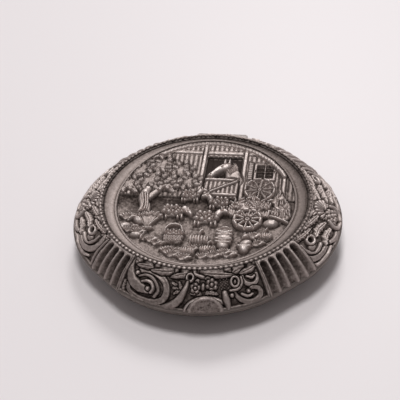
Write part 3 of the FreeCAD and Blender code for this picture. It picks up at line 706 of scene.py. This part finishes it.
def tree(r):
    """A gnarled trunk with roots and boughs, and a crown of leafy clumps."""
    clumps = ((-2.3, 6.2, 1.4), (-1.2, 8.6, 1.6), (1.3, 9.6, 1.5), (3.6, 8.6, 1.4), (2.3, 6.6, 1.5),
              (0.2, 7.0, 1.5), (5.0, 6.9, 1.0))
    for dx in (-1.5, -0.6, 0.7, 1.6):
        r.ridge([(0.3 * dx, 0.9), (0.7 * dx, 0.3), (dx, -0.4)], (0.4, 0.3, 0.14), (0.7, 0.5))
    for x, y, size in clumps:
        r.ridge([(0.2, 3.6), (0.4 * x, 0.5 * (4.4 + y)), (x, y)], (0.5, 0.35, 0.2), 0.75)
    r.ridge([(0, 0), (0.2, 2.0), (-0.3, 4.0), (0.5, 6.4)], (0.95, 0.7, 0.65, 0.45), (0.95, 0.9, 0.85),
            notch=0.12, notches=9)
    for x in (-0.3, 0.15, 0.5):
        r.ridge([(x, 0.2), (x * 0.7 + 0.15, 2.2), (x * 0.8 - 0.2, 4.2)], 0.12, 0.98, gap=0.1)
    for x, y, size in clumps:
        r.ball((x, y), size, 0.6, 1.15, 15)
        count = round(4 * size * size) + 5
        for k in range(count):
            a, d = 2.4 * k, size * 0.95 * sqrt((k + 0.5) / count)
            u, v = x + d * cos(a) * 1.12, y + d * sin(a)
            rib = [(u, v), (u + 0.45 * cos(a), v + 0.45 * sin(a)),
                   (u + 0.85 * cos(a + 0.4), v + 0.85 * sin(a + 0.4))]
            r.leaf(rib, 0.44, r.vary(0.74, 0.26), 2, 0.2, 0.1)


def sheep(r, grazing):
    """A woolly sheep in profile."""
    for x in (-1.0, -0.65, 0.55, 0.95):
        r.ridge([(x, 0.2), (x + 0.05, -0.75)], 0.14, 0.75, gap=0.1)
    r.ball((0, 0.35), 0.85, 0.85, 1.55, 4)
    for k in range(15):
        a, d = 2.4 * k, sqrt((k + 0.5) / 15)
        r.ball((1.1 * d * cos(a), 0.35 + 0.6 * d * sin(a)), 0.3, r.vary(0.9, 0.1), gap=0.03)
    head = [(1.15, 0.6), (1.6, 0.15), (1.95, -0.35)] if grazing else [(1.05, 0.7), (1.45, 1.15), (2.05, 1.0)]
    r.ridge(head, (0.38, 0.36, 0.2), (0.9, 1.0, 0.9))
    r.ridge([head[1], (head[1][0] - 0.1, head[1][1] + 0.42)], (0.14, 0.08), 1.0, gap=0.06)


def rectangle(left, low, right, high):
    return [(left, low), (right, low), (right, high), (left, high)]


def horse_head(r):
    """A horse looking out over the half door."""
    r.ridge([(1.9, -1.2), (1.3, 0.9), (0.2, 2.4)], (1.7, 1.35, 0.95), (0.75, 0.85, 0.95))
    for k in range(7):
        lock = [(1.55 - 0.28 * k, 2.9 - 0.02 * k * k), (2.3 - 0.2 * k, 1.7 - 0.25 * k)]
        r.ridge(lock, (0.3, 0.14), 0.92, gap=0.1)
    r.ridge([(0.3, 2.5), (-0.9, 1.5), (-2.1, 0.1), (-2.5, -0.5)], (0.95, 0.85, 0.6, 0.62), (0.98, 1.0, 0.95))
    for x in (-0.2, 0.6):
        r.ridge([(x, 2.9), (x + 0.1, 3.9)], (0.36, 0.12), 0.98, gap=0.1)
    r.hollow((-0.55, 1.9), 0.2, 0.5)
    r.hollow((-2.45, -0.25), 0.16, 0.5)


def barn(r):
    """The barn's plank wall: posts, beams, a horse over a half door and a window with a shutter."""
    r.slab(rectangle(-18, 1.2, 18, 17), 0.34, 0.3, lines=0.4, pitch=0.92, fade=2.6)
    r.slab(rectangle(-18, 12.3, 18, 13.3), 0.9, 0.2)
    for x in (-14.6, -1.6, 6.2, 13.9):
        r.slab(rectangle(x - 0.42, 1.0, x + 0.42, 17), 0.6, 0.2, fade=1.6)
    r.sink(rectangle(-1.1, 1.3, 5.7, 12.0), 0.03)
    r.stand(2.6, 7.0, 1, 1.05)
    horse_head(r)
    r.stand(0, 0)
    r.slab(rectangle(-1.0, 1.0, 5.6, 6.2), 0.66, 0.2, lines=0.4, pitch=0.8)
    for y in (1.7, 5.6):
        r.slab(rectangle(-0.9, y - 0.34, 5.5, y + 0.34), 0.82, 0.2)
    r.ridge([(-0.5, 1.9), (5.1, 5.4)], 0.32, 0.8)
    r.slab(rectangle(8.0, 6.0, 12.2, 10.6), 0.62, 0.15)
    r.sink(rectangle(8.5, 6.5, 11.7, 10.1), 0.04)
    r.slab(rectangle(9.93, 6.2, 10.27, 10.4), 0.5, 0.2)
    r.slab(rectangle(8.3, 8.23, 11.9, 8.57), 0.5, 0.2)
    r.slab([(6.9, 5.8), (7.9, 6.0), (7.9, 10.6), (6.9, 10.8)], 0.72, 0.15, lines=0.35, pitch=0.5, turn=90)
    eave = [(15.7 * sin(a), 15.5 * cos(a)) for a in np.radians(range(-62, 63, 4))]
    r.ridge(eave, 0.55, 0.97, notch=0.12, notches=46)


def wheel(r, radius, height):
    r.ring((0, 0), radius, 0.26, height)
    for k in range(10):
        a = 2 * pi * k / 10 + 0.2
        spoke = [(0.2 * cos(a), 0.2 * sin(a)), (radius * cos(a), radius * sin(a))]
        r.ridge(spoke, 0.13, height * 0.9, gap=0.07)
    r.ball((0, 0), 0.42, height)
    r.hollow((0, 0), 0.16, 0.6)


def cart(r):
    """A two-wheeled hay cart with its shafts down."""
    r.ridge([(2.0, 0.9), (4.2, 0.1), (5.6, -0.9)], (0.2, 0.16), 0.8)
    r.slab([(-2.6, 0.5), (2.4, 0.5), (2.8, 1.9), (-3.0, 1.9)], 0.8, lines=0.3, pitch=0.48)
    r.ball((0, 2.6), 1.45, 0.85, 2.0, 0)
    for _ in range(44):
        x, y = r.vary(-2.6, 5.2), r.vary(1.7, 2.1)
        if (x / 2.8) ** 2 + ((y - 2.5) / 1.4) ** 2 < 1:
            a = r.vary(0.5, 1.9)
            r.ridge([(x, y), (x + 0.8 * cos(a), y + 0.6 * sin(a))], 0.12, r.vary(0.85, 0.15), gap=0.06)
    r.stand(*r.at((-0.2, -0.1)), r.side, r.scale)
    wheel(r, 1.7, 1.0)


def barrel(r):
    r.ridge([(0, -0.9), (0, 0), (0, 0.9)], (0.62, 0.85, 0.66), 0.97)
    for y in (-0.72, -0.3, 0.3, 0.72):
        w = 0.82 - 0.14 * abs(y)
        r.ridge([(-w, y), (0, y - 0.14), (w, y)], 0.1, 0.97, gap=0.07)
    r.ball((0, 0.92), 0.26, 0.97, 2.4, 0)
    r.hollow((0, 0.95), 0.17, 0.6, 2.4)


def basket(r):
    r.ridge([(-0.95, 0.5), (-0.6, 1.5), (0.4, 1.6), (0.95, 0.5)], 0.12, 0.85)
    r.slab([(-0.75, -0.7), (0.75, -0.7), (1.1, 0.5), (-1.1, 0.5)], 0.85, 0.3, lines=0.35, pitch=0.27)
    for y in (-0.45, -0.1, 0.25):
        r.ridge([(-0.9, y + 0.05), (0, y - 0.1), (0.9, y + 0.05)], 0.09, 0.92, notch=0.3, notches=8, gap=0.04)
    r.ball((0, 0.5), 0.3, 1.0, 3.6, 0)
    for k in range(7):
        r.ball((-0.8 + 0.27 * k, 0.62 + 0.12 * (k % 2)), 0.23, 1.0, gap=0.06)


def sheaf(r):
    """A bound sheaf of wheat, standing."""
    height = 0.95
    for k in range(15):
        a = radians(-34 + 68 * k / 14)
        top = (2.9 * sin(a), 1.1 + 2.5 * cos(a) + r.vary(0, 0.3))
        stalk = [(-1.1 * sin(a), -1.5), (0.25 * sin(a), 0.9), top]
        r.ridge(stalk, (0.16, 0.13, 0.16), height * 0.9, gap=0.08)
        r.ball(top, 0.26, height * r.vary(0.92, 0.08), 2.0, 90 - degrees(a), gap=0.07)
    r.ridge([(-0.7, 0.75), (0, 0.6), (0.7, 0.75)], 0.24, height, notch=0.3, notches=7)


def pumpkin(r):
    r.ball((0, 0), 1.0, 0.8, 1.25)
    for k in range(-3, 4):
        r.ball((0.33 * k, 0), 0.86 - 0.05 * abs(k), 1 - 0.04 * abs(k), 0.3, 0, gap=0.07)
    r.ridge([(0, 0.75), (0.12, 1.1), (0.36, 1.3)], 0.14, 1.0, gap=0.08)


def jug(r):
    r.ring((0.75, 0.35), 0.55, 0.15, 0.8)
    r.ridge([(0, -1.0), (0, -0.2), (0, 0.7), (0, 1.3)], (0.55, 0.95, 0.55, 0.42), 1.0)
    r.ball((0, 1.4), 0.2, 1.0, 2.6, 0)
    for y in (-0.55, 0.25):
        r.ridge([(-0.75, y), (0, y - 0.14), (0.75, y)], 0.09, 1.0, gap=0.05)


def tuft(r, height):
    for k in range(7):
        a = radians(-62 + 124 * k / 6)
        blade = [(out * sin(a), up * cos(a)) for out, up in ((0.1, 0), (0.55, 0.6), (1.15, 1.0))]
        r.leaf(blade, 0.24, height, 1, 0.0, 0.08)


def hay_stack(r):
    height = 0.85
    r.ridge([(0, -0.6), (0, 0.9), (0, 3.0)], (1.75, 1.7, 0.5), height * 0.85)
    for _ in range(44):
        y = r.vary(-0.9, 3.3)
        x = (1.6 - 0.4 * max(y, 0)) * r.vary(-1, 2)
        r.ridge([(x, y), (x * 1.1 + 0.05, y - 0.7)], 0.13, height * r.vary(0.85, 0.15), gap=0.06)
    r.ridge([(0, 2.6), (0.05, 3.6)], 0.13, height)


def farmyard(width, length):
    """The picture, built up from the far wall to the near ground."""
    r = Relief(width, length, PICTURE_CELL, -length / 2)
    x, y = np.meshgrid(r.xs, r.ys)
    r.h = 0.08 + 0.09 * step(-y, -2, 14) + 0.03 * grain(r.h.shape, 14, 51)
    for rut in (-1.6, 0.4):
        r.h -= 0.06 * np.exp(-(((x - rut * 2 - 0.35 * y) / 0.5) ** 2)) * step(-y, -1, 4)
    barn(r)
    r.stand(9.6, 3.4)
    wheel(r, 2.7, 0.9)
    r.stand(-11.2, -5.2, 1, 1.5)
    tree(r)
    r.stand(13.4, -1.6, 1, 1.35)
    hay_stack(r)
    for px, py, side, size, grazing in ((-3.0, 1.0, 1, 1.45, False), (2.6, -0.6, -1, 1.6, False),
                                        (-5.6, -3.4, 1, 1.8, True), (0.6, -4.8, 1, 1.9, False)):
        r.stand(px, py, side, size)
        sheep(r, grazing)
    for draw, px, py, size in ((cart, 8.4, -4.4, 1.4), (sheaf, -9.6, -8.6, 1.25), (barrel, 4.4, -9.3, 1.9),
                               (jug, 8.2, -10.6, 1.5), (basket, -4.6, -9.8, 1.9), (pumpkin, 0.1, -10.0, 1.5),
                               (pumpkin, 1.9, -12.4, 1.25), (pumpkin, -1.8, -13.0, 1.3),
                               (pumpkin, 11.6, -8.4, 1.1)):
        r.stand(px, py, 1, size)
        draw(r)
    for k in range(60):
        a, d = r.vary(0, 2 * pi), r.vary(0.8, 0.17)
        px, py = 16.2 * d * cos(a), 16.0 * d * sin(a)
        if py < -4.5:
            r.stand(px, py, 1, r.vary(1.2, 0.6))
            if k % 3:
                tuft(r, r.vary(0.75, 0.25))
            else:
                r.ball((0, 0), r.vary(0.4, 0.2), 0.8, 1.5, r.vary(0, 40))
    return r


def make_plaque(material):
    """The picture on the oval plaque, as a left and a right half."""
    low, high = box_mm("plaque")
    half_x, half_y = high[:2]
    ground = low[2] + PLAQUE_SHEET
    r = farmyard(2 * half_x + 0.2, 2 * half_y + 0.2)
    h, edge = worn(r, 60, 0.02, 1.2)
    for name, u_low, u_high in (("left", -1, 0), ("right", 0, 1)):
        u, v = np.meshgrid(np.linspace(u_low, u_high, PICTURE_GRID // 2 + 1),
                           np.linspace(-1, 1, PICTURE_GRID + 1))
        x = half_x * u * np.sqrt(1 - v * v / 2)
        y = half_y * v * np.sqrt(1 - u * u / 2)
        top = r.sampled(h, x, y)
        y, rise = toward_back(y, half_y)
        z = ground + rise + (high[2] - ground - rise) * top
        lift = r.sampled(edge, x, y)
        # Painted light: the near part of the picture is drawn lighter than its far part under the rim.
        tone = top + (1 - top) * 0.32 * step(-y, -2, 7)
        points, under = np.stack([x, y, z], 2), np.stack([x, y, 0 * z + low[2]], 2)
        piece = patch_piece("plaque_" + name, points, under, material, tone, lift)
        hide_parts("plaque")


# Materials

class Graph:
    """Short calls for building a node material round its Principled shader."""

    def __init__(self, name):
        self.material = bpy.data.materials.new(name)
        self.material.use_nodes = True
        self.tree = self.material.node_tree
        self.shader = self.tree.nodes["Principled BSDF"]
        self.place = self.node("ShaderNodeTexCoord", {}).outputs["Object"]

    def put(self, node, inputs):
        """Set a node's inputs, each to a value or to another node's output."""
        for key, value in inputs.items():
            if isinstance(value, bpy.types.NodeSocket):
                self.tree.links.new(value, node.inputs[key])
            else:
                node.inputs[key].default_value = value

    def node(self, kind, inputs, **settings):
        made = self.tree.nodes.new(kind)
        for key, value in settings.items():
            setattr(made, key, value)
        self.put(made, inputs)
        return made

    def noise(self, per_mm, detail=3.0, rough=0.55, stretch=(1, 1, 1)):
        """Noise from 0 to 1 with this many features in a millimetre."""
        mapping = self.node("ShaderNodeMapping", {"Vector": self.place, "Scale": stretch})
        inputs = {"Vector": mapping.outputs[0], "Scale": per_mm / MM, "Detail": detail, "Roughness": rough}
        return self.node("ShaderNodeTexNoise", inputs).outputs["Fac"]

    def math(self, operation, a, b, c=0.0, clamp=False):
        inputs = {0: a, 1: b, 2: c}
        return self.node("ShaderNodeMath", inputs, operation=operation, use_clamp=clamp).outputs[0]

    def ramp(self, value, stops):
        made = self.node("ShaderNodeValToRGB", {"Fac": value})
        made.color_ramp.interpolation = "EASE"
        elements = made.color_ramp.elements
        while len(elements) < len(stops):
            elements.new(0.5)
        for element, (at, colour) in zip(elements, stops):
            element.position = at
            element.color = (*colour, 1)
        return made.outputs["Color"]

    def scale(self, value, low, high):
        """Map 0..1 to low..high."""
        return self.math("MULTIPLY_ADD", value, high - low, low)

    def attribute(self, name):
        return self.node("ShaderNodeAttribute", {}, attribute_name=name).outputs["Fac"]

    def bump(self, height, strength, distance_mm, under):
        """Surface normals bent by a height, over the inputs of what lies under it."""
        inputs = {"Strength": strength, "Distance": distance_mm * MM, "Height": height, **under}
        return {"Normal": self.node("ShaderNodeBump", inputs).outputs["Normal"]}

    def finish(self, colour, roughness, normal):
        self.put(self.shader, {"Base Color": colour, "Roughness": roughness, "Metallic": 1.0, **normal})
        return self.material


def relief_silver(name="relief_silver", mottle=1.0):
    """Old cast silver: near-black in its hollows, grey on its faces and bright where it is rubbed."""
    g = Graph(name)
    relief, edge = g.attribute("relief"), g.attribute("edge")
    stain = g.noise(1.3, 4.0, 0.65)
    speck = g.noise(3.0, 3.0, 0.7)
    raised = g.math("POWER", relief, 0.55)
    worn_level = g.math("MULTIPLY_ADD", edge, 0.95, g.math("MULTIPLY", raised, 0.66))
    worn_level = g.math("ADD", worn_level, g.scale(stain, -0.22 * mottle, 0.26 * mottle))
    worn_level = g.math("ADD", worn_level, g.scale(speck, -0.2, 0.2), clamp=True)
    colour = g.ramp(worn_level, [(0.08, (0.045, 0.034, 0.030)), (0.26, (0.13, 0.104, 0.094)),
                                 (0.44, (0.29, 0.242, 0.224)), (0.66, (0.45, 0.386, 0.362)),
                                 (0.92, (0.66, 0.585, 0.555))])
    roughness = g.scale(worn_level, 0.74, 0.54)
    ripple = g.bump(g.noise(3.2, 3.0, 0.6), 0.7 * mottle, 0.08, {})
    return g.finish(colour, roughness, g.bump(g.noise(9.0, 2.0), 0.5, 0.02, ripple))


def plain_silver(name, tone, dull, scratch_turn=(1, 1, 1)):
    """Plain metal sheet or wire, tarnished in clouds, with fine scratches and small dents."""
    g = Graph(name)
    cloud = g.noise(0.45, 4.0, 0.6)
    speck = g.noise(5.0, 3.0, 0.6)
    scratch = g.noise(9.0, 1.0, 0.5, scratch_turn)
    level = g.math("ADD", g.scale(cloud, 0.0, 0.8), g.scale(speck, 0.0, 0.35), clamp=True)
    dark = tuple(c * 0.42 for c in tone)
    colour = g.ramp(level, [(0.22, dark), (0.5, tuple(c * 0.8 for c in tone)), (0.8, tone)])
    roughness = g.math("ADD", g.scale(level, dull + 0.16, dull - 0.04), g.scale(scratch, -0.05, 0.08))
    dents = g.bump(g.noise(1.4, 4.0, 0.65), 0.5, 0.08, {})
    return g.finish(colour, roughness, g.bump(scratch, 0.3, 0.008, dents))


def assign(material, *starts):
    """Give a material to the CAD nodes whose names start so."""
    for name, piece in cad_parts.items():
        if name.startswith(starts):
            piece.data.materials.clear()
            piece.data.materials.append(material)


silver_relief = relief_silver()
make_frieze(silver_relief)
make_beads(silver_relief)
make_plaque(silver_relief)
make_shoulder(relief_silver("sheet_silver", 0.55))
assign(plain_silver("base_silver", (0.27, 0.232, 0.213), 0.52, (1, 1, 5)), "lid_edge_band", "base_edge_band",
       "base_wall", "floor_plate")
assign(plain_silver("hinge_silver", (0.30, 0.265, 0.25), 0.44, (5, 1, 1)), "knuckle", "bearer", "hinge_pin")
assign(plain_silver("gilt", (0.83, 0.60, 0.30), 0.24), "base_liner", "lid_liner", "bezel")


# Floor, light and camera

def make_floor():
    mesh = bpy.data.meshes.new("floor")
    corners = [(x * FLOOR_HALF, y * FLOOR_HALF, 0) for x, y in ((-1, -1), (1, -1), (1, 1), (-1, 1))]
    mesh.from_pydata(corners, [], [(0, 1, 2, 3)])
    g = Graph("floor")
    g.put(g.shader, {"Base Color": (0.80, 0.755, 0.765, 1), "Roughness": 0.45, "Specular IOR Level": 0.3})
    mesh.materials.append(g.material)
    floor = add_object("floor", mesh)


def area_light(name, place, size, power):
    """A round soft light that looks at the box."""
    light = bpy.data.lights.new(name, "AREA")
    light.shape = "DISK"
    light.size = size
    light.energy = power
    lamp = add_object(name, light)
    lamp.location = place
    lamp.rotation_euler = (-Vector(place)).to_track_quat("-Z", "Y").to_euler()


def make_world():
    """A soft grey room, brighter behind the box than in front of it."""
    world = bpy.data.worlds.new("studio")
    bpy.context.scene.world = world
    world.use_nodes = True
    tree = world.node_tree
    coordinate = tree.nodes.new("ShaderNodeTexCoord")
    split = tree.nodes.new("ShaderNodeSeparateXYZ")
    ramp = tree.nodes.new("ShaderNodeValToRGB")
    tree.links.new(coordinate.outputs["Generated"], split.inputs[0])
    tree.links.new(split.outputs["Y"], ramp.inputs["Fac"])
    stops = ((0.0, (0.23, 0.22, 0.22, 1)), (0.9, (0.62, 0.60, 0.60, 1)))
    for element, (at, colour) in zip(ramp.color_ramp.elements, stops):
        element.position = at
        element.color = colour
    tree.links.new(ramp.outputs["Color"], tree.nodes["Background"].inputs["Color"])


def make_camera():
    """The photograph's view: 44 degrees over the floor, a little to the box's right and tipped."""
    elevation, azimuth, roll = (radians(a) for a in (43.75, 10.3, 4.5))
    distance, lens = 0.220, 105.3
    aim = Vector((-1.6, 7.2, 0)) * MM  # the view's middle, counted from the box's
    axes = Matrix.Rotation(azimuth, 3, "Z") @ Matrix.Rotation(pi / 2 - elevation, 3, "X")
    axes = axes @ Matrix.Rotation(-roll, 3, "Z")
    place = axes.col[2] * distance
    back = (place - axes @ aim).normalized()
    side = axes.col[1].cross(back).normalized()
    data = bpy.data.cameras.new("camera")
    data.lens = lens
    data.clip_start = 0.01
    camera = add_object("camera", data)
    turn = Matrix((side, back.cross(side), back)).transposed().to_4x4()
    camera.matrix_world = Matrix.Translation(place) @ turn
    bpy.context.scene.camera = camera


make_floor()
make_world()
make_camera()
area_light("overhead", (0.0, 0.02, 0.55), 0.16, 1.4)
area_light("behind", (0.0, 0.62, 0.56), 0.22, 2.15)
bpy.context.scene.view_settings.view_transform = "Standard"
